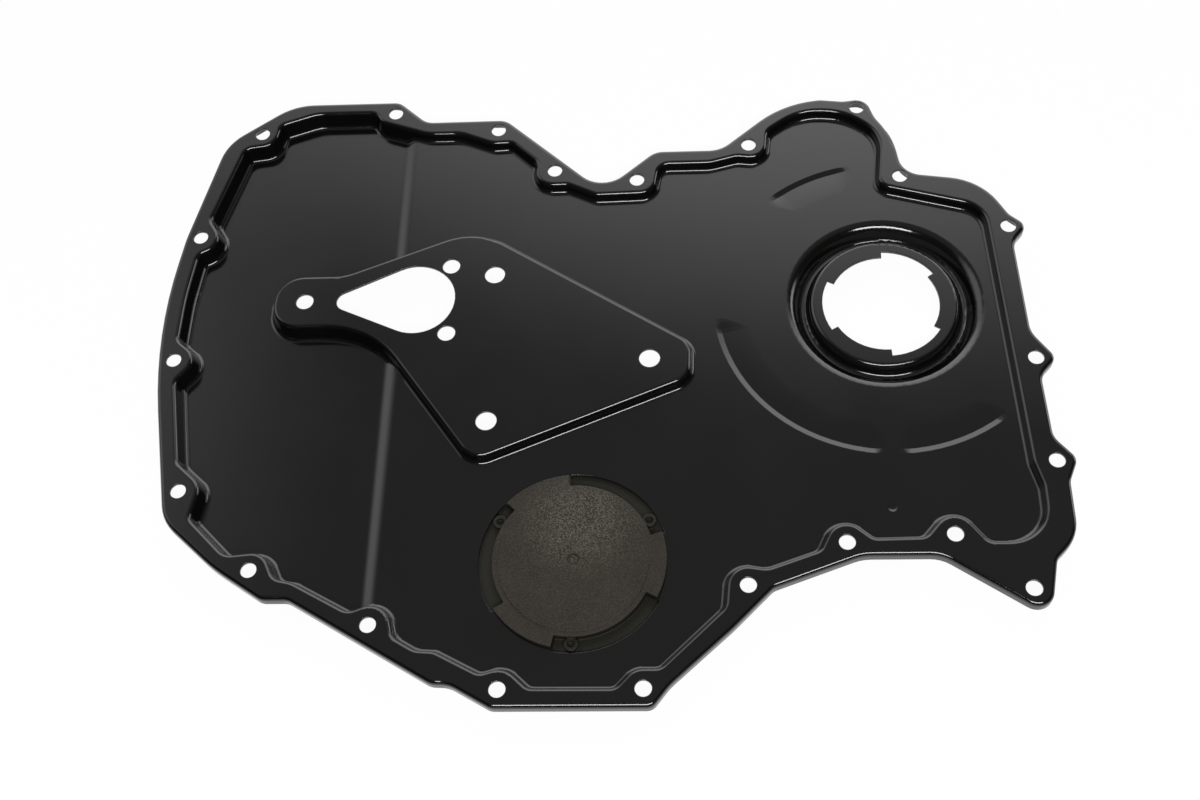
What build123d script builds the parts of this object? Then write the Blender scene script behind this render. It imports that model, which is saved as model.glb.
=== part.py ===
from build123d import *
from math import atan2, cos, hypot, radians, sin, tan
import os

# Pressed steel front cover of an engine, with a moulded service plug and its seal ring.
# Millimetres. Origin: crank axis on the sealing plane; +Z towards the engine; the sealing face looks up.

# Sheet and section
sheet = 1.2
bend = 2.0
draft = 12.0
rim_depth = 5.2
shallow_floor = -5.0
deep_floor = -8.8
pad_top = 0.0

# Step between the two floors, parallel to Y
step_x = -225.0
step_slope = 40.0
step_bend = 4.0

# Crank seat: a groove with a soft lip round a sunk plateau, and the opening in it
groove_outer_r = 42.0
groove_inner_r = 33.3
groove_depth = 7.3
groove_slope = 60.0
groove_lip = 5.0
seat_drop = 1.2
opening_tab_r = 24.8
opening_notch_r = 28.0
opening_notches = ((33.5, 89.5), (153.5, 209.5), (273.5, 329.5))

# Shallow crescents pressed round the crank seat
crescent_r = 76.5
crescent_depth = 0.8
crescent_step = 2.6
crescent_fade = 14.0
crescent_end = 6.0
crescents = ((98.5, 132.0), (185.5, 267.0), (270.5, 310.0))

# Locating dimple
dimple_at = (-3.6, -102.9)
dimple_ball_r = 6.0
dimple_depth = 0.4

# Fastening holes
bolt_hole = 7.0
pad_bolt_hole = 8.2
pad_dowel_hole = 9.4
bolt_holes = (
    (-232.7, 112.8), (-180.8, 100.5), (-152.3, 75.0), (-112.8, 68.3), (-59.3, 87.4), (-6.6, 108.2),
    (11.1, 66.5), (58.3, 36.5), (63.0, -33.7), (66.1, -84.2), (50.1, -142.0), (20.7, -117.7),
    (-23.9, -120.9), (-65.3, -139.6), (-108.3, -183.6), (-167.2, -183.8), (-222.4, -155.9),
    (-275.8, -131.0), (-311.9, -93.4), (-324.0, -26.9), (-321.1, 40.9), (-298.6, 102.3),
)
pad_bolts = ((-266.5, 3.3), (-199.0, 21.2), (-199.0, -15.3))
pad_dowels = ((-178.3, -61.0), (-178.3, 15.9), (-106.4, -30.5))

# Teardrop opening in the pad: a large and a small circle joined by straight flanks
teardrop_big = (-214.6, 3.4, 18.4)
teardrop_small = (-246.5, 3.0, 5.0)

# Service plug: a disc with three lobes over the sheet, three stops in the notches and a flange behind
plug_at = (-138.3, -126.3)
plug_hole_r = 35.2
plug_notch_r = 40.5
plug_lobe_r = 39.4
plug_disc_r = 34.3
plug_lobe_start = 94.0
plug_lobe_span = 44.0
plug_notch_span = 75.0
plug_height = 2.8
plug_face_r = 32.0
plug_face_step = 0.3
plug_wall = 2.5
plug_flange_r = 45.8
plug_flange = 3.0
plug_gap = 0.6
plug_stop_angle = 30.0
plug_stop_r = 36.8
plug_stop_size = 6.0
plug_stop_hollow = 3.2
plug_grip = 6.0
plug_gate = 4.6
seal_r = 42.75
seal_width = 2.4
seal_height = 2.0

# Outlines in order round the part: x, y and the radius that rounds the corner
rim_outline = (
    (-316.2, 97.5, 25), (-284.5, 120.8, 30), (-231.3, 120.5, 7), (-217, 107.4, 9), (-177.5, 107.4, 9),
    (-129.3, 63.2, 14), (-104.3, 85.5, 10), (-73, 85.4, 14), (-42, 112.6, 50), (-24, 114.4, 12),
    (-13, 113, 12), (-2, 114.3, 7), (1.6, 103, 20), (9.5, 90.5, 40), (12.8, 69, 11), (48.4, 63.6, 29),
    (59.5, 43.8, 8), (67.3, 37.1, 4.5), (59.9, 28, 10), (62.4, -20, 12), (72.1, -33.5, 4.5),
    (64.4, -42.4, 9), (66.1, -72.5, 9), (75, -83, 5), (70.7, -93.5, 8), (70.9, -118.8, 20),
    (61.1, -129, 6), (56.2, -154.1, 7), (14.5, -126.9, 15), (-17.8, -126.8, 20), (-54.8, -140.7, 6),
    (-71.5, -157.9, 60), (-97.5, -182, 30), (-104.6, -191.4, 5), (-169.8, -191.5, 6),
    (-187.5, -181.5, 12), (-194.7, -181.3, 8), (-258, -144.4, 7), (-269.3, -144.4, 7),
    (-292, -129.6, 80), (-317.2, -107.3, 22), (-335.5, -13, 250), (-328.6, 41, 60),
)
tub_outline = (
    (-321.2, 31.3, 5), (-309.2, 37.5, 8.5), (-317.8, 51, 6), (-306.2, 93.7, 5), (-292.2, 95.6, 7.5),
    (-290.1, 107.6, 5), (-272.5, 113.9, 20), (-243, 113.7, 5), (-239.6, 107.8, 7), (-216, 99.4, 20),
    (-199.5, 99.3, 20), (-183.5, 92.6, 8.5), (-174, 93, 5), (-160.9, 80.4, 5), (-162.6, 66.6, 8.5),
    (-146, 66.8, 6), (-132.5, 60.2, 8), (-105, 60.8, 7.5), (-102.4, 77.6, 6), (-78, 77.5, 15),
    (-65, 81, 8), (-51.9, 79.2, 7.5), (-50.2, 95.9, 6), (-34.4, 107.6, 28), (-12.2, 106.2, 29),
    (3.8, 92, 18), (0.7, 61.9, 6), (48.6, 48.2, 14), (56.3, -84, 10), (59.4, -95.5, 10),
    (59.6, -121.6, 17), (34.4, -121.3, 6), (20.95, -104.2, 8.5), (8.6, -118.9, 5), (-12.8, -119.3, 5),
    (-26.9, -107.5, 8.4), (-34.9, -124.3, 5), (-57.2, -132.4, 8), (-73, -129.8, 8.6), (-74.7, -149, 6),
    (-101.5, -175.2, 5), (-112.1, -175.1, 8.6), (-119.7, -183.5, 5), (-155, -183.4, 5),
    (-164.8, -174.3, 8.6), (-175, -177.3, 5), (-194, -167.5, 8), (-202, -167, 8), (-212, -161.2, 7),
    (-216.2, -144.2, 8.9), (-231.6, -150.2, 6), (-257, -136.5, 15), (-264.8, -135, 6),
    (-270.8, -122.5, 8.2), (-287.3, -124.2, 7), (-305.3, -106.5, 5), (-302.4, -90.2, 8.8),
    (-314.3, -79.6, 6), (-321.9, -37.5, 5), (-312.3, -25.9, 8.3), (-323.9, -16.2, 5), (-323.7, 8, 150),
)
pad_outline = (
    (-281, 17.2, 13), (-249.5, 17.2, 25), (-188.3, 42, 30), (-88.2, -22.4, 9), (-88.6, -40.3, 9),
    (-183.6, -80.5, 10), (-234.5, -10.3, 43), (-281, -10.5, 12),
)


def rounded_face(corners, grow, z):
    """Face at height z from clockwise corners (x, y, radius), with its edge moved outwards by grow."""
    count = len(corners)
    moved = []
    for i in range(count):
        before, here, after = corners[i - 1], corners[i], corners[(i + 1) % count]
        ax, ay = here[0] - before[0], here[1] - before[1]
        bx, by = after[0] - here[0], after[1] - here[1]
        la, lb = hypot(ax, ay), hypot(bx, by)
        ax, ay, bx, by = ax / la, ay / la, bx / lb, by / lb
        turn = ax * by - ay * bx
        reach = grow / (1 + ax * bx + ay * by)
        px = here[0] + reach * (-ay - by)
        py = here[1] + reach * (ax + bx)
        radius = here[2] + (grow if turn < 0 else -grow)
        half = tan(atan2(abs(turn), ax * bx + ay * by) / 2)
        moved.append((px, py, ax, ay, bx, by, radius, half, turn))
    edges = []
    for i in range(count):
        px, py, ax, ay, bx, by, radius, half, turn = moved[i]
        run = radius * half
        start = (px - ax * run, py - ay * run)
        end = (px + bx * run, py + by * run)
        lift = radius * (hypot(1, half) - 1)
        mx, my = bx - ax, by - ay
        length = hypot(mx, my)
        middle = (px + mx / length * lift, py + my / length * lift)
        edges.append(ThreePointArc(start, middle, end))
        nx = moved[(i + 1) % count]
        run = nx[6] * nx[7]
        edges.append(Line(end, (nx[0] - nx[2] * run, nx[1] - nx[3] * run)))
    face = make_face(edges).face()
    if face.normal_at().Z < 0:
        face = -face
    return Pos(0, 0, z) * face


def wall_shift(depth):
    """Sideways distance between the sharp corners of two skins that lie depth apart."""
    return depth * tan(radians((90 - draft) / 2))


def tapered(corners, grow, top, height, slope):
    """Solid between the outline at the height top and the same outline below it, drawn in by the slope."""
    upper = rounded_face(corners, grow, top)
    lower = rounded_face(corners, grow - height * tan(radians(slope)), top - height)
    return Solid.make_loft([upper.outer_wire(), lower.outer_wire()], ruled=True)


def floor_prism(t):
    """Everything below the two floors and the soft step between them, for the skin t below the top."""
    low, high = deep_floor - t, shallow_floor - t
    slope = radians(step_slope)
    half_run = (shallow_floor - deep_floor) / tan(slope) / 2
    shift = t * tan(slope / 2)
    x_low = step_x - half_run + shift
    x_high = step_x + half_run + shift
    profile = FilletPolyline(
        (-400, 0, low), (x_low, 0, low), (x_high, 0, high), (120, 0, high),
        radius=(step_bend + t, step_bend + sheet - t),
    )
    closing = Polyline((120, 0, high), (120, 0, -30), (-400, 0, -30), (-400, 0, low))
    face = make_face(profile.edges() + closing.edges()).face()
    return extrude(face, 260, dir=(0, 1, 0), both=True)


def groove_corners(t):
    """Radii and levels of the groove's corners for the skin t below the top, from the plateau outwards."""
    top = shallow_floor - t
    seat = top - seat_drop
    floor = top - groove_depth
    inner = groove_inner_r - wall_shift(t)
    inner_foot = inner + (groove_depth - seat_drop) * tan(radians(draft))
    outer = groove_outer_r + t * tan(radians(groove_slope / 2))
    outer_foot = outer - groove_depth / tan(radians(groove_slope))
    return (inner, seat), (inner_foot, floor), (outer_foot, floor), (outer, top)


def ring_groove(t):
    """Cutter of the sunk plateau and of the groove round it."""
    corners = groove_corners(t)
    outer, top = corners[3]
    above = 1.0
    beyond = (outer + above / tan(radians(groove_slope)), 0, top + above)
    line = [(r, 0, z) for r, z in corners[:3]]
    section = Polyline((0, 0, corners[0][1]), *line, beyond, (0, 0, top + above), close=True)
    return revolve(make_face(section.edges()), Axis.Z)


def crescent_section(depth, fade_width, top, angle):
    """Section of a crescent at one angle: a short ramp outside and a long one inside that fades to level."""
    low_r = crescent_r - crescent_step / 2
    high_r = crescent_r + crescent_step / 2
    lip = top + 0.02
    fade_r = low_r - fade_width
    fade = Bezier((low_r, 0, top - depth), (low_r - fade_width / 2, 0, lip), (fade_r, 0, lip))
    ramp = Polyline((fade_r, 0, lip), (high_r, 0, lip), (low_r, 0, top - depth))
    return Rot(0, 0, angle) * make_face(fade.edges() + ramp.edges()).face()


def crescent(t, start, end):
    """Cutter of one crescent, whose depth fades to nothing at both ends."""
    top = shallow_floor - t
    first = start + crescent_end
    last = end - crescent_end
    section = crescent_section(crescent_depth, crescent_fade, top, first)
    body = revolve(section, Axis.Z, revolution_arc=last - first)
    for full, tip in ((first, start), (last, end)):
        wires = []
        for share, deep in ((0, 1.0), (0.3, 0.8), (0.7, 0.2), (1, 0.0)):
            depth = crescent_depth * deep - 0.01 * share
            fade_width = crescent_fade * (1 - 0.6 * share)
            angle = full + (tip - full) * share
            wires.append(crescent_section(depth, fade_width, top, angle).outer_wire())
        body = body + Solid.make_loft(wires, ruled=True)
    return body


def foot_edges(solid):
    """Edges where a tapered wall stands on a floor."""
    walls = set()
    floors = set()
    for face in solid.faces():
        rise = face.normal_at().Z
        if abs(rise - sin(radians(draft))) < 0.02:
            walls.update(face.edges())
        elif rise > 0.5:
            floors.update(face.edges())
    return [edge for edge in walls & floors if edge.bounding_box().max.Z < -2.5]


def circles_at(solid, radius, z):
    """Circular edges about the crank axis with this radius at height z."""
    found = solid.edges().filter_by(GeomType.CIRCLE)
    return [
        edge for edge in found
        if abs(edge.arc_center.Z - z) < 1e-3
        and hypot(edge.arc_center.X, edge.arc_center.Y) < 1e-3
        and abs(edge.radius - radius) < 1e-3
    ]


def skin(t):
    """Solid of everything below the skin that lies t under the visible face."""
    top = -t
    block = extrude(rounded_face(rim_outline, -t, top), 24, dir=(0, 0, -1))
    tub = tapered(tub_outline, wall_shift(t), top, 12, draft)
    cavity = tub - floor_prism(t)
    pad = tapered(pad_outline, -wall_shift(t), pad_top - t, 12, -draft)
    solid = (block - cavity + pad).solid()
    lips = [
        edge for edge in solid.edges()
        if any(abs(edge.bounding_box().min.Z - z) < 1e-4 for z in (top, pad_top - t))
    ]
    solid = solid.fillet(bend - t, lips)
    solid = solid.fillet(bend + t, foot_edges(solid))
    seat, inner_foot, outer_foot, lip = groove_corners(t)
    solid = (solid - ring_groove(t)).solid()
    solid = solid.fillet(bend - t, circles_at(solid, *seat))
    solid = solid.fillet(groove_lip - t, circles_at(solid, *lip))
    solid = solid.fillet(bend + t, circles_at(solid, *inner_foot) + circles_at(solid, *outer_foot))
    for start, end in crescents:
        solid = (solid - crescent(t, start, end)).solid()
    ball = Pos(dimple_at[0], dimple_at[1], shallow_floor - dimple_depth + dimple_ball_r)
    solid = (solid - ball * Sphere(dimple_ball_r + t)).solid()
    return solid


def sector(radius, start, end):
    """Pie slice between two angles in degrees."""
    a, m, b = radians(start), radians((start + end) / 2), radians(end)
    first = (radius * cos(a), radius * sin(a))
    middle = (radius * cos(m), radius * sin(m))
    last = (radius * cos(b), radius * sin(b))
    return make_face([Line((0, 0), first), ThreePointArc(first, middle, last), Line(last, (0, 0))])


def notched_disc(inner_r, outer_r, spans):
    """Disc with wider sectors over the given spans of degrees."""
    disc = Circle(inner_r)
    for start, end in spans:
        disc += sector(outer_r, start, end)
    return disc


def thirds(start, span):
    """Three spans of degrees, a third of a turn apart."""
    return [(start + 120 * i, start + 120 * i + span) for i in range(3)]


def plug_notches():
    """Spans of the three notches, centred between the lobes of the locked plug."""
    middle = plug_lobe_start + plug_lobe_span / 2 + 60
    return thirds(middle - plug_notch_span / 2, plug_notch_span)


def holes():
    """Cutters of every hole through the sheet."""
    cut = []
    groups = ((bolt_holes, bolt_hole), (pad_bolts, pad_bolt_hole), (pad_dowels, pad_dowel_hole))
    for places, diameter in groups:
        cut += [Pos(x, y, -6) * Cylinder(diameter / 2, 20) for x, y in places]
    bx, by, br = teardrop_big
    sx, sy, sr = teardrop_small
    drop = make_hull(Sketch([Pos(bx, by) * Circle(br), Pos(sx, sy) * Circle(sr)]).edges())
    cut.append(Pos(0, 0, -16) * extrude(drop, 20))
    opening = notched_disc(opening_tab_r, opening_notch_r, opening_notches)
    cut.append(Pos(0, 0, -16) * extrude(opening, 20))
    hole = notched_disc(plug_hole_r, plug_notch_r, plug_notches())
    cut.append(Pos(plug_at[0], plug_at[1], -16) * extrude(hole, 20))
    return cut


def pressing():
    """The formed sheet: the space between the two skins, with its rim cut to depth and its holes."""
    body = skin(0.0) - skin(sheet)
    below_rim = extrude(rounded_face(rim_outline, 2.0, -rim_depth), 30, dir=(0, 0, -1))
    middle = extrude(rounded_face(tub_outline, 2.2, 0.0), 40, dir=(0, 0, -1))
    body = body - (below_rim - middle)
    for cutter in holes():
        body = body - cutter
    return body.solid()


def access_plug():
    """Moulded plug, locked: lobes on the sheet, flange with a seal groove behind it."""
    top = shallow_floor + plug_height
    flange_top = shallow_floor - sheet - plug_gap
    flange_bottom = flange_top - plug_flange
    lobe_spans = thirds(plug_lobe_start, plug_lobe_span)
    lobes = extrude(notched_disc(plug_disc_r, plug_lobe_r, lobe_spans), plug_height)
    body = Pos(0, 0, shallow_floor) * lobes
    ledge = Circle(plug_lobe_r + 1) - Circle(plug_face_r)
    body -= Pos(0, 0, top - plug_face_step) * extrude(ledge, 1)
    stem = shallow_floor - flange_top
    body += Pos(0, 0, flange_top) * extrude(Circle(plug_disc_r), stem)
    body += Pos(0, 0, flange_bottom) * extrude(Circle(plug_flange_r), plug_flange)
    stop_height = shallow_floor + 0.6 - flange_top
    for i in range(3):
        angle = radians(plug_stop_angle + 120 * i)
        place = Pos(plug_stop_r * cos(angle), plug_stop_r * sin(angle), flange_top)
        body += place * extrude(Circle(plug_stop_size / 2), stop_height)
        body -= place * Pos(0, 0, 0.6) * extrude(Circle(plug_stop_hollow / 2), stop_height)
    groove = Circle(seal_r + seal_width / 2) - Circle(seal_r - seal_width / 2)
    depth = seal_height - plug_gap
    body -= Pos(0, 0, flange_top - depth) * extrude(groove, depth + 1)
    cup = Circle(plug_disc_r - plug_wall) - Rectangle(2 * plug_disc_r, plug_grip)
    body -= Pos(0, 0, flange_bottom - 1) * extrude(cup, top - plug_wall - flange_bottom + 1)
    gate = Cylinder(plug_gate / 2, 1.0)
    body -= Pos(0, 0, top) * gate
    outer = body.edges().filter_by(GeomType.CIRCLE).filter_by(lambda e: abs(e.radius - plug_flange_r) < 1e-3)
    body = body.fillet(0.8, outer)
    return Pos(plug_at[0], plug_at[1]) * body


def plug_seal_ring():
    """Rubber ring held between the plug flange and the outer face of the sheet."""
    bottom = shallow_floor - sheet - seal_height
    ring = Circle(seal_r + seal_width / 2) - Circle(seal_r - seal_width / 2)
    body = extrude(ring, seal_height)
    return Pos(plug_at[0], plug_at[1], bottom) * body


os.makedirs("parts", exist_ok=True)
export_step(pressing(), "parts/cover_pressing.step")
export_step(access_plug(), "parts/access_plug.step")
export_step(plug_seal_ring(), "parts/plug_seal_ring.step")
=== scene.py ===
"""Pressed steel engine front cover with its service plug, dressed for a studio picture.

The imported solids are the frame. Each operator finishes one piece; the last one sets up the stage.
Lengths are metres, and angles on the stage are an azimuth from -Y towards +X and an elevation.
"""

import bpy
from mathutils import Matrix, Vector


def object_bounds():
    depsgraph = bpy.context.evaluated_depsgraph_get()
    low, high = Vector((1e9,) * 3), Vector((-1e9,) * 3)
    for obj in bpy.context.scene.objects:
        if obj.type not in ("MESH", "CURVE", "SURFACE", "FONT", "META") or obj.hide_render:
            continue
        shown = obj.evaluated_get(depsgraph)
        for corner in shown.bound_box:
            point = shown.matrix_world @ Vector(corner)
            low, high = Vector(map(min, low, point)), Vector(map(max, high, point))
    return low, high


bl_info = {
    "name": "Engine front cover",
    "version": (1, 1, 0),
    "blender": (4, 5, 0),
    "location": "3D View > Sidebar > Front cover",
    "description": "Finishes a pressed engine front cover and its service plug, and lights them",
    "category": "Object",
}

from math import cos, pi, radians, sin, tan

import bpy
from bpy.props import FloatProperty, FloatVectorProperty, PointerProperty
from mathutils import Quaternion, Vector

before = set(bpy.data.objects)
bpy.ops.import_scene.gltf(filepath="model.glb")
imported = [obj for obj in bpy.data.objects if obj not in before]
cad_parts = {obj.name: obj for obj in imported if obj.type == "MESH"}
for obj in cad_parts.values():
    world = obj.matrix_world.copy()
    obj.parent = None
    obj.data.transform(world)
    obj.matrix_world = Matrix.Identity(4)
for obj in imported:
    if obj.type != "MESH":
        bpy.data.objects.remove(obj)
CAD_BOX = [list(corner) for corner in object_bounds()]

WHITE = (1.0, 1.0, 1.0, 1.0)

# Settings that several nodes have
COLOURS = {"data_type": "RGBA"}
SMOOTH = {"interpolation_type": "SMOOTHSTEP"}
TIMES = {"operation": "MULTIPLY"}
ROUNDED = {"samples": 8}

# Width in millimetres of the clouds in the coat's gloss, in the plug's colour and in the rubber's bloom
HAZE_MM = 45
CLOUD_MM = 9
BLOOM_MM = 3

# Most values of a noise lie between these two
NOISE_LOW = 0.3
NOISE_HIGH = 0.7

# Slopes of the sheet: up to the first it is a faint one, from the second on it shows in full
FAINT_SLOPE = radians(6)
FULL_SLOPE = radians(15)

# Step between the two floors: its place, then how far to each side it is soft and where that has faded out,
# and up to which height it is soft and where that has faded out
STEP_X = -0.225
STEP_SOFT = 0.0065
STEP_SOFT_END = 0.0085
STEP_TOP = -0.005
STEP_TOP_END = -0.0046

# Plug: up to the first height it is a pocket, from the second on its face
POCKET_Z = -0.0044
FACE_Z = -0.0030

# Plug's flecks, partly glass fibre ends and partly a painted highlight: the noise where they begin and where
# they are full, the spot of the painted highlight where they are palest, how far that reaches and fades out,
# and the share of flecks that is left beyond
FLECK_START = 0.36
FLECK_FULL = 0.74
PAINTED_GLINT_SPOT = (-0.136, -0.108, -0.0022)
PAINTED_GLINT_REACH = 0.006
PAINTED_GLINT_END = 0.032
FLECK_SHARE_BEYOND_GLINT = 0.2

# Hollow that the plug's moulding gate left, and the painted shade as a dark line round its edge
GATE = (-0.1383, -0.1263, -0.0022)
GATE_R = 0.0023
GATE_SHADE_LINE = 0.0001
GATE_SHADE_END = 0.0006
GATE_SHADE_SHARE = 0.8

# Stage: half the floor's width, the gap between it and the part, and how far away the key lamp stands
FLOOR_REACH = 3.0
FLOOR_GAP = 0.0002
LAMP_DISTANCE = 1.3

# Soft glows on the walls of the room, in degrees: azimuth, elevation, radius of the full glow,
# radius where it ends, and its brightness
ROOM_GLOWS = (
    (174, 20, 23, 42, 2.0),
    (237, 33, 4, 34, 1.15),
    (180, 75, 4, 50, 0.17),
    (122, 10, 4, 20, 2.6),
)


def linear(code):
    """Linear red, green and blue of an sRGB hex colour such as #1a1a1a."""
    parts = [int(code[start:start + 2], 16) / 255 for start in (1, 3, 5)]
    return [part / 12.92 if part <= 0.04045 else ((part + 0.055) / 1.055) ** 2.4 for part in parts]


def rgba(colour):
    """Colour of a setting as a node takes it, with alpha."""
    return tuple(colour) + (1.0,)


def per_mm(size_mm):
    """Pattern scale for a feature of this size, on coordinates in metres."""
    return 1000.0 / size_mm


def direction(azimuth, elevation):
    """Unit vector from the part towards a place on the stage."""
    flat = cos(elevation)
    return Vector((sin(azimuth) * flat, -cos(azimuth) * flat, sin(elevation)))


def add_node(tree, kind, settings=None, inputs=None, links=None):
    """Adds a node with its settings, input values and links: {input: (node, output)}."""
    node = tree.nodes.new(kind)
    for key, value in (settings or {}).items():
        setattr(node, key, value)
    for key, value in (inputs or {}).items():
        node.inputs[key].default_value = value
    for key, (source, output) in (links or {}).items():
        tree.links.new(source.outputs[output], node.inputs[key])
    return node


def new_material(name):
    """Empty node material and its tree."""
    material = bpy.data.materials.new(name)
    material.use_nodes = True
    material.node_tree.nodes.clear()
    return material, material.node_tree


def put_material(node, material):
    """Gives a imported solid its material."""
    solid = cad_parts[node]
    if not solid.data.materials:
        solid.data.materials.append(material)
    for slot in solid.material_slots:
        slot.material = material


def drawn_surface(tree, place, settings):
    """Direction of the sheet's surface, with rounded trim, faint slopes nearly gone and a soft step.

    The direction's X and Y in the part's own axes are multiplied by the share of the slope that shows.
    """
    edge = add_node(tree, "ShaderNodeBevel", ROUNDED, {"Radius": settings.edge_rounding})
    local = add_node(tree, "ShaderNodeVectorTransform",
                     {"vector_type": "NORMAL", "convert_from": "WORLD", "convert_to": "OBJECT"},
                     links={"Vector": (edge, "Normal")})
    facing = add_node(tree, "ShaderNodeSeparateXYZ", links={"Vector": (local, "Vector")})
    upright = add_node(tree, "ShaderNodeMath", {"operation": "ABSOLUTE"}, links={0: (facing, "Z")})
    slope = add_node(tree, "ShaderNodeMapRange", SMOOTH,
                     {"From Min": cos(FULL_SLOPE), "From Max": cos(FAINT_SLOPE),
                      "To Min": 1.0, "To Max": settings.faint_slopes},
                     {"Value": (upright, 0)})

    at = add_node(tree, "ShaderNodeSeparateXYZ", links={"Vector": (place, "Object")})
    aside = add_node(tree, "ShaderNodeMath", {"operation": "SUBTRACT"}, {1: STEP_X}, {0: (at, "X")})
    aside = add_node(tree, "ShaderNodeMath", {"operation": "ABSOLUTE"}, links={0: (aside, 0)})
    beside = add_node(tree, "ShaderNodeMapRange", SMOOTH,
                      {"From Min": STEP_SOFT_END, "From Max": STEP_SOFT},
                      {"Value": (aside, 0)})
    below = add_node(tree, "ShaderNodeMapRange", SMOOTH,
                     {"From Min": STEP_TOP_END, "From Max": STEP_TOP},
                     {"Value": (at, "Z")})
    on_step = add_node(tree, "ShaderNodeMath", TIMES, links={0: (beside, 0), 1: (below, 0)})
    across = add_node(tree, "ShaderNodeMapRange", inputs={"To Max": settings.step_slope},
                      links={"Value": (on_step, 0), "To Min": (slope, 0)})

    shares = add_node(tree, "ShaderNodeCombineXYZ", inputs={"Z": 1.0},
                      links={"X": (across, 0), "Y": (slope, 0)})
    eased = add_node(tree, "ShaderNodeVectorMath", TIMES,
                     links={0: (local, "Vector"), 1: (shares, "Vector")})
    return add_node(tree, "ShaderNodeVectorTransform",
                    {"vector_type": "NORMAL", "convert_from": "OBJECT", "convert_to": "WORLD"},
                    links={"Vector": (eased, "Vector")})


def black_electrocoat(settings):
    """Cathodic electrocoat, satin black, baked on pressed steel.

    The eye sees a deep black that mirrors the room a little softly, with a very fine orange peel. The IOR
    is a little above that of plain epoxy, for the carbon black in it.
    """
    material, tree = new_material("satin_black_electrocoat")
    place = add_node(tree, "ShaderNodeTexCoord")
    haze = add_node(tree, "ShaderNodeTexNoise",
                    inputs={"Scale": per_mm(HAZE_MM), "Detail": 2.0, "Roughness": 0.5},
                    links={"Vector": (place, "Object")})
    gloss = add_node(tree, "ShaderNodeMapRange",
                     inputs={"From Min": NOISE_LOW, "From Max": NOISE_HIGH,
                             "To Min": settings.coat_roughness - settings.coat_spread,
                             "To Max": settings.coat_roughness + settings.coat_spread},
                     links={"Value": (haze, "Fac")})
    tone = add_node(tree, "ShaderNodeMix", COLOURS,
                    {"A": rgba(settings.coat_dark), "B": rgba(settings.coat_light)},
                    {"Factor": (haze, "Fac")})
    peel = add_node(tree, "ShaderNodeTexNoise",
                    inputs={"Scale": per_mm(settings.peel_size * 1000), "Detail": 3.0, "Roughness": 0.55},
                    links={"Vector": (place, "Object")})
    surface = drawn_surface(tree, place, settings)
    bump = add_node(tree, "ShaderNodeBump", inputs={"Strength": 0.1, "Distance": settings.peel_height},
                    links={"Height": (peel, "Fac"), "Normal": (surface, "Vector")})
    shader = add_node(tree, "ShaderNodeBsdfPrincipled", inputs={"IOR": 1.65},
                      links={"Base Color": (tone, "Result"), "Roughness": (gloss, "Result"),
                             "Normal": (bump, "Normal")})
    add_node(tree, "ShaderNodeOutputMaterial", links={"Surface": (shader, "BSDF")})
    return material


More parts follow.
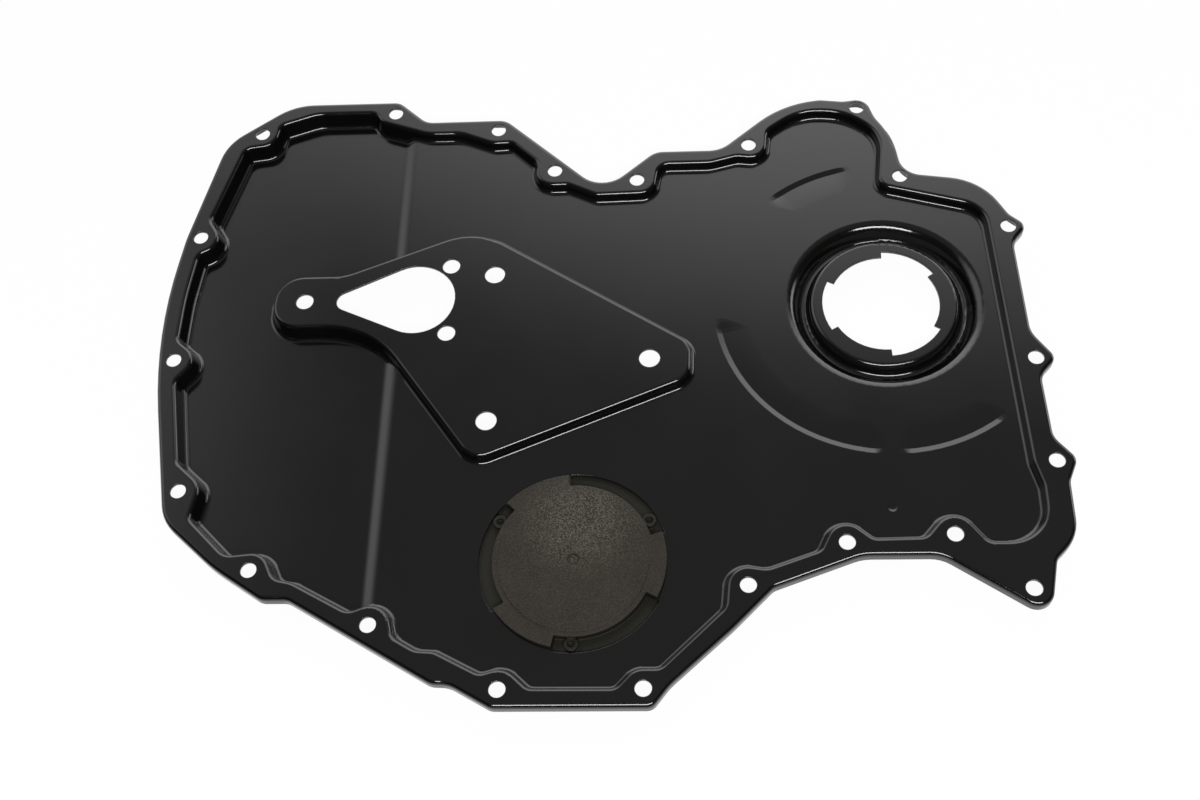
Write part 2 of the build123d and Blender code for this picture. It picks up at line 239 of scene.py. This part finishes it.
def moulded_nylon(settings):
    """Glass-filled nylon, injection moulded, with a spark-eroded grain.

    The eye sees a dull dark brown-grey, darker in the pockets, with pale flecks where glass fibres come up.
    Round one spot on the face the flecks are made paler and denser as a painted highlight, and a dark line
    of painted shade rings the hollow of the moulding gate.
    Real grain is about 0.1 mm wide and a fibre's end finer still, so both are drawn as coarse as they need
    to show. The pores of the grain swallow half of the gloss.
    """
    material, tree = new_material("grained_glass_filled_nylon")
    place = add_node(tree, "ShaderNodeTexCoord")
    grain = add_node(tree, "ShaderNodeTexNoise",
                     inputs={"Scale": per_mm(settings.grain_size * 1000), "Detail": 4.0, "Roughness": 0.65},
                     links={"Vector": (place, "Object")})
    edge = add_node(tree, "ShaderNodeBevel", ROUNDED, {"Radius": settings.edge_rounding})
    bump = add_node(tree, "ShaderNodeBump", inputs={"Strength": 0.8, "Distance": settings.grain_height},
                    links={"Height": (grain, "Fac"), "Normal": (edge, "Normal")})

    cloud = add_node(tree, "ShaderNodeTexNoise",
                     inputs={"Scale": per_mm(CLOUD_MM), "Detail": 6.0, "Roughness": 0.62},
                     links={"Vector": (place, "Object")})
    tone = add_node(tree, "ShaderNodeMix", COLOURS,
                    {"A": rgba(settings.plug_dark), "B": rgba(settings.plug_light)},
                    {"Factor": (cloud, "Fac")})
    at = add_node(tree, "ShaderNodeSeparateXYZ", links={"Vector": (place, "Object")})
    raised = add_node(tree, "ShaderNodeMapRange", SMOOTH,
                      {"From Min": POCKET_Z, "From Max": FACE_Z},
                      {"Value": (at, "Z")})
    tone = add_node(tree, "ShaderNodeMix", COLOURS, {"A": rgba(settings.plug_pocket)},
                    {"B": (tone, "Result"), "Factor": (raised, 0)})

    # Painted highlight: round one spot on the face the flecks grow pale and many, in place of the lamp's
    # sparkle in the grain
    away = add_node(tree, "ShaderNodeVectorMath", {"operation": "DISTANCE"}, {1: PAINTED_GLINT_SPOT},
                    {0: (place, "Object")})
    painted_glint_patch = add_node(tree, "ShaderNodeMapRange", SMOOTH,
                     {"From Min": PAINTED_GLINT_END, "From Max": PAINTED_GLINT_REACH, "To Min": FLECK_SHARE_BEYOND_GLINT, "To Max": 1.0},
                     {"Value": (away, "Value")})
    fleck = add_node(tree, "ShaderNodeTexNoise",
                     inputs={"Scale": per_mm(settings.fleck_size * 1000), "Detail": 2.0, "Roughness": 0.6},
                     links={"Vector": (place, "Object")})
    fleck = add_node(tree, "ShaderNodeMapRange", SMOOTH,
                     {"From Min": FLECK_START, "From Max": FLECK_FULL},
                     {"Value": (fleck, "Fac")})
    pale = add_node(tree, "ShaderNodeMath", TIMES, links={0: (painted_glint_patch, 0), 1: (fleck, 0)})
    pale = add_node(tree, "ShaderNodeMath", TIMES, links={0: (pale, 0), 1: (raised, 0)})
    tone = add_node(tree, "ShaderNodeMix", COLOURS, {"B": rgba(settings.plug_fleck_and_glint)},
                    {"A": (tone, "Result"), "Factor": (pale, 0)})

    # Painted shade: a dark line in the crease round the gate's hollow, in the pocket colour
    rim = add_node(tree, "ShaderNodeVectorMath", {"operation": "DISTANCE"}, {1: GATE},
                   {0: (place, "Object")})
    rim = add_node(tree, "ShaderNodeMath", {"operation": "SUBTRACT"}, {1: GATE_R}, {0: (rim, "Value")})
    rim = add_node(tree, "ShaderNodeMath", {"operation": "ABSOLUTE"}, links={0: (rim, 0)})
    gate_painted_shade = add_node(tree, "ShaderNodeMapRange", SMOOTH,
                     {"From Min": GATE_SHADE_END, "From Max": GATE_SHADE_LINE, "To Max": GATE_SHADE_SHARE},
                     {"Value": (rim, 0)})
    tone = add_node(tree, "ShaderNodeMix", COLOURS, {"B": rgba(settings.plug_pocket)},
                    {"A": (tone, "Result"), "Factor": (gate_painted_shade, 0)})

    shader = add_node(tree, "ShaderNodeBsdfPrincipled",
                      inputs={"Roughness": settings.plug_roughness, "IOR": 1.53, "Specular IOR Level": 0.25},
                      links={"Base Color": (tone, "Result"), "Normal": (bump, "Normal")})
    add_node(tree, "ShaderNodeOutputMaterial", links={"Surface": (shader, "BSDF")})
    return material


def nitrile_rubber(settings):
    """Nitrile rubber, moulded. The eye sees a dull soft black with a faint bloom."""
    material, tree = new_material("moulded_nitrile_rubber")
    place = add_node(tree, "ShaderNodeTexCoord")
    bloom = add_node(tree, "ShaderNodeTexNoise",
                     inputs={"Scale": per_mm(BLOOM_MM), "Detail": 3.0, "Roughness": 0.5},
                     links={"Vector": (place, "Object")})
    tone = add_node(tree, "ShaderNodeMix", COLOURS,
                    {"A": rgba(settings.rubber_dark), "B": rgba(settings.rubber_light)},
                    {"Factor": (bloom, "Fac")})
    shader = add_node(tree, "ShaderNodeBsdfPrincipled", inputs={"Roughness": 0.7, "IOR": 1.52},
                      links={"Base Color": (tone, "Result")})
    add_node(tree, "ShaderNodeOutputMaterial", links={"Surface": (shader, "BSDF")})
    return material


def matt_sweep(settings):
    """Matt white sweep. Seen directly or in a reflection it is nearly white, and it keeps a light shadow."""
    material, tree = new_material("matt_white_sweep")
    path = add_node(tree, "ShaderNodeLightPath")
    seen = add_node(tree, "ShaderNodeMath", {"operation": "MAXIMUM"},
                    links={0: (path, "Is Camera Ray"), 1: (path, "Is Glossy Ray")})
    seen = add_node(tree, "ShaderNodeMath", {"operation": "MAXIMUM"},
                    links={0: (seen, 0), 1: (path, "Is Transmission Ray")})
    lit = add_node(tree, "ShaderNodeMath", TIMES, {1: settings.floor_glow}, {0: (seen, 0)})
    matt = add_node(tree, "ShaderNodeBsdfDiffuse", inputs={"Color": rgba(settings.floor_colour)})
    glow = add_node(tree, "ShaderNodeEmission", inputs={"Color": WHITE, "Strength": 1.0})
    mixed = add_node(tree, "ShaderNodeMixShader", links={0: (lit, 0), 1: (matt, 0), 2: (glow, 0)})
    add_node(tree, "ShaderNodeOutputMaterial", links={"Surface": (mixed, 0)})
    return material


def colour(name, description, code):
    """A colour setting with its default as a hex code."""
    return FloatVectorProperty(name=name, description=description, default=linear(code), size=3,
                               min=0.0, max=1.0, subtype="COLOR")


def length(name, description, metres):
    """A length setting in metres."""
    return FloatProperty(name=name, description=description, default=metres, min=0.0, precision=6,
                         subtype="DISTANCE", unit="LENGTH")


def angle(name, description, degrees):
    """An angle setting with its default in degrees."""
    return FloatProperty(name=name, description=description, default=radians(degrees),
                         subtype="ANGLE", unit="ROTATION")


def level(name, description, value):
    """A brightness setting, where 1 is plain white."""
    return FloatProperty(name=name, description=description, default=value, min=0.0)


def share(name, description, value):
    """A setting from 0 to 1."""
    return FloatProperty(name=name, description=description, default=value, min=0.0, max=1.0,
                         subtype="FACTOR")


class FrontCoverFinish(bpy.types.PropertyGroup):
    """Colours and textures of the three materials."""

    coat_dark: colour("Coat, darker", "Darker tone of the black coat", "#060606")
    coat_light: colour("Coat, lighter", "Lighter tone of the black coat", "#0c0c0b")
    coat_roughness: share("Coat roughness", "How soft the coat's gloss is", 0.12)
    coat_spread: share("Coat roughness spread", "How much the coat's roughness varies", 0.015)
    peel_size: length("Peel size", "Width of the coat's orange peel", 0.0009)
    peel_height: length("Peel height", "Height of the coat's orange peel", 0.00002)
    edge_rounding: length("Edge rounding", "Radius that trimmed and moulded edges seem to have", 0.0005)
    faint_slopes: share("Faint slopes", "Share of a faint slope that still shows", 0.25)
    step_slope: share("Step slope", "Share of the step's slope that still shows", 0.24)
    plug_dark: colour("Plug, darker", "Darker tone of the plug", "#15110c")
    plug_light: colour("Plug, lighter", "Lighter tone of the plug", "#2f2820")
    plug_pocket: colour("Plug, pockets", "Tone of the plug's pockets", "#1a1912")
    # Colour of the flecks, also used for the painted highlight round one spot on the plug
    plug_fleck_and_glint: colour("Plug, flecks", "Tone of the pale flecks on the plug", "#5d5b51")
    fleck_size: length("Fleck size", "Width of the pale flecks", 0.0006)
    plug_roughness: share("Plug roughness", "How dull the plug is", 0.5)
    grain_size: length("Grain size", "Width of the plug's moulded grain", 0.0008)
    grain_height: length("Grain height", "Height of the plug's moulded grain", 0.00012)
    rubber_dark: colour("Rubber, darker", "Darker tone of the seal", "#141414")
    rubber_light: colour("Rubber, lighter", "Lighter tone of the seal", "#1f1f1f")


class FrontCoverStage(bpy.types.PropertyGroup):
    """Floor, key lamp, room and camera."""

    floor_colour: colour("Floor colour", "Colour of the sweep", "#f2f2f2")
    floor_glow: share("Floor glow", "Share of plain white in the seen floor", 0.96)
    key_azimuth: angle("Key azimuth", "Where the key lamp stands, from -Y towards +X", 12)
    key_elevation: angle("Key elevation", "Height of the key lamp above the floor, as an angle", 50)
    key_width: angle("Key width", "How wide the key lamp looks from the part", 44)
    key_height: angle("Key height", "How tall the key lamp looks from the part", 12)
    key_level: level("Key level", "Brightness of the key lamp's face", 16.5)
    room_level: level("Room level", "Brightness of the room away from its glows", 0.033)
    camera_at: FloatVectorProperty(name="Camera place", description="Where the camera stands", size=3,
                                   default=(-0.0795, -0.3889, 0.6064), subtype="TRANSLATION",
                                   unit="LENGTH")
    camera_to: FloatVectorProperty(name="Camera aim", description="Point the camera looks at", size=3,
                                   default=(-0.12815, -0.0516, 0.0), subtype="TRANSLATION",
                                   unit="LENGTH")
    camera_roll: angle("Camera roll", "Turn about the view axis", -8.136)
    lens: FloatProperty(name="Lens", description="Focal length in millimetres", default=47.35,
                        min=10.0, max=300.0)


class FRONTCOVER_OT_cover(bpy.types.Operator):
    """Coats the pressed cover."""

    bl_idname = "frontcover.cover"
    bl_label = "Finish the pressed cover"

    def execute(self, context):
        put_material("cover_pressing", black_electrocoat(context.scene.front_cover_finish))
        return {"FINISHED"}


class FRONTCOVER_OT_plug(bpy.types.Operator):
    """Finishes the moulded service plug."""

    bl_idname = "frontcover.plug"
    bl_label = "Finish the service plug"

    def execute(self, context):
        put_material("access_plug", moulded_nylon(context.scene.front_cover_finish))
        return {"FINISHED"}


class FRONTCOVER_OT_seal(bpy.types.Operator):
    """Finishes the plug's seal ring."""

    bl_idname = "frontcover.seal"
    bl_label = "Finish the seal ring"

    def execute(self, context):
        put_material("plug_seal_ring", nitrile_rubber(context.scene.front_cover_finish))
        return {"FINISHED"}


class FRONTCOVER_OT_stage(bpy.types.Operator):
    """Sets up the pale floor, the soft key lamp, the room and the camera."""

    bl_idname = "frontcover.stage"
    bl_label = "Set up the stage"

    def execute(self, context):
        settings = context.scene.front_cover_stage
        centre = (Vector(CAD_BOX[0]) + Vector(CAD_BOX[1])) / 2
        self.floor(context, settings, centre)
        self.key_lamp(context, settings, centre)
        self.room(context, settings)
        self.camera(context, settings)
        context.scene.view_settings.view_transform = "Standard"
        return {"FINISHED"}

    def floor(self, context, settings, centre):
        """Flat square just under the part."""
        height = CAD_BOX[0][2] - FLOOR_GAP
        corners = [(centre.x + right * FLOOR_REACH, centre.y + far * FLOOR_REACH, height)
                   for right, far in ((-1, -1), (1, -1), (1, 1), (-1, 1))]
        mesh = bpy.data.meshes.new("studio_floor")
        mesh.from_pydata(corners, [], [(0, 1, 2, 3)])
        mesh.materials.append(matt_sweep(settings))
        floor = bpy.data.objects.new("studio_floor", mesh)
        context.scene.collection.objects.link(floor)

    def key_lamp(self, context, settings, centre):
        """Softbox that faces the part; its width and height are angles as seen from there."""
        data = bpy.data.lights.new("key_softbox", "AREA")
        data.shape = "RECTANGLE"
        data.size = 2 * LAMP_DISTANCE * tan(settings.key_width / 2)
        data.size_y = 2 * LAMP_DISTANCE * tan(settings.key_height / 2)
        data.energy = settings.key_level * pi * data.size * data.size_y
        lamp = bpy.data.objects.new("key_softbox", data)
        back = direction(settings.key_azimuth, settings.key_elevation)
        lamp.location = centre + back * LAMP_DISTANCE
        lamp.rotation_mode = "QUATERNION"
        lamp.rotation_quaternion = (-back).to_track_quat("-Z", "Y")
        context.scene.collection.objects.link(lamp)

    def room(self, context, settings):
        """Dim room with soft glows on its walls, plain white where the camera sees it directly."""
        world = bpy.data.worlds.new("plain_room")
        world.use_nodes = True
        tree = world.node_tree
        tree.nodes.clear()
        place = add_node(tree, "ShaderNodeTexCoord")
        total = add_node(tree, "ShaderNodeMath", {"operation": "ADD"}, {0: 0.0, 1: settings.room_level})
        for azimuth, elevation, full, end, brightness in ROOM_GLOWS:
            towards = direction(radians(azimuth), radians(elevation))
            near = add_node(tree, "ShaderNodeVectorMath", {"operation": "DOT_PRODUCT"}, {1: towards},
                            {0: (place, "Generated")})
            glow = add_node(tree, "ShaderNodeMapRange", SMOOTH,
                            {"From Min": cos(radians(end)), "From Max": cos(radians(full)),
                             "To Min": 0.0, "To Max": brightness},
                            {"Value": (near, "Value")})
            total = add_node(tree, "ShaderNodeMath", {"operation": "ADD"},
                             links={0: (total, 0), 1: (glow, 0)})
        path = add_node(tree, "ShaderNodeLightPath")
        room = add_node(tree, "ShaderNodeBackground", inputs={"Color": WHITE},
                        links={"Strength": (total, 0)})
        white = add_node(tree, "ShaderNodeBackground", inputs={"Color": WHITE, "Strength": 1.0})
        mixed = add_node(tree, "ShaderNodeMixShader",
                         links={0: (path, "Is Camera Ray"), 1: (room, 0), 2: (white, 0)})
        add_node(tree, "ShaderNodeOutputWorld", links={"Surface": (mixed, 0)})
        context.scene.world = world

    def camera(self, context, settings):
        """Camera at the photograph's viewing angle."""
        data = bpy.data.cameras.new("photo_camera")
        data.sensor_fit = "HORIZONTAL"
        data.sensor_width = 36.0
        data.lens = settings.lens
        data.clip_start = 0.01
        data.clip_end = 20.0
        camera = bpy.data.objects.new("photo_camera", data)
        ahead = Vector(settings.camera_to) - Vector(settings.camera_at)
        roll = Quaternion((0, 0, 1), settings.camera_roll)
        camera.location = settings.camera_at
        camera.rotation_mode = "QUATERNION"
        camera.rotation_quaternion = ahead.to_track_quat("-Z", "Y") @ roll
        context.scene.collection.objects.link(camera)
        context.scene.camera = camera


OPERATORS = (FRONTCOVER_OT_cover, FRONTCOVER_OT_plug, FRONTCOVER_OT_seal, FRONTCOVER_OT_stage)


class FRONTCOVER_PT_panel(bpy.types.Panel):
    """Lists the steps of the cover in order, with their settings."""

    bl_idname = "FRONTCOVER_PT_panel"
    bl_label = "Engine front cover"
    bl_space_type = "VIEW_3D"
    bl_region_type = "UI"
    bl_category = "Front cover"

    def draw(self, context):
        for operator in OPERATORS:
            self.layout.operator(operator.bl_idname)
        for group in (context.scene.front_cover_finish, context.scene.front_cover_stage):
            box = self.layout.box()
            for key in group.__annotations__:
                box.prop(group, key)


CLASSES = (FrontCoverFinish, FrontCoverStage) + OPERATORS + (FRONTCOVER_PT_panel,)


def register():
    """Adds the classes and the two groups of settings."""
    for cls in CLASSES:
        bpy.utils.register_class(cls)
    bpy.types.Scene.front_cover_finish = PointerProperty(type=FrontCoverFinish)
    bpy.types.Scene.front_cover_stage = PointerProperty(type=FrontCoverStage)


def unregister():
    """Takes them out again."""
    del bpy.types.Scene.front_cover_stage
    del bpy.types.Scene.front_cover_finish
    for cls in reversed(CLASSES):
        bpy.utils.unregister_class(cls)


def main():
    """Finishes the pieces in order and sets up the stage."""
    register()
    bpy.ops.frontcover.cover()
    bpy.ops.frontcover.plug()
    bpy.ops.frontcover.seal()
    bpy.ops.frontcover.stage()


if __name__ == "__main__":
    main()
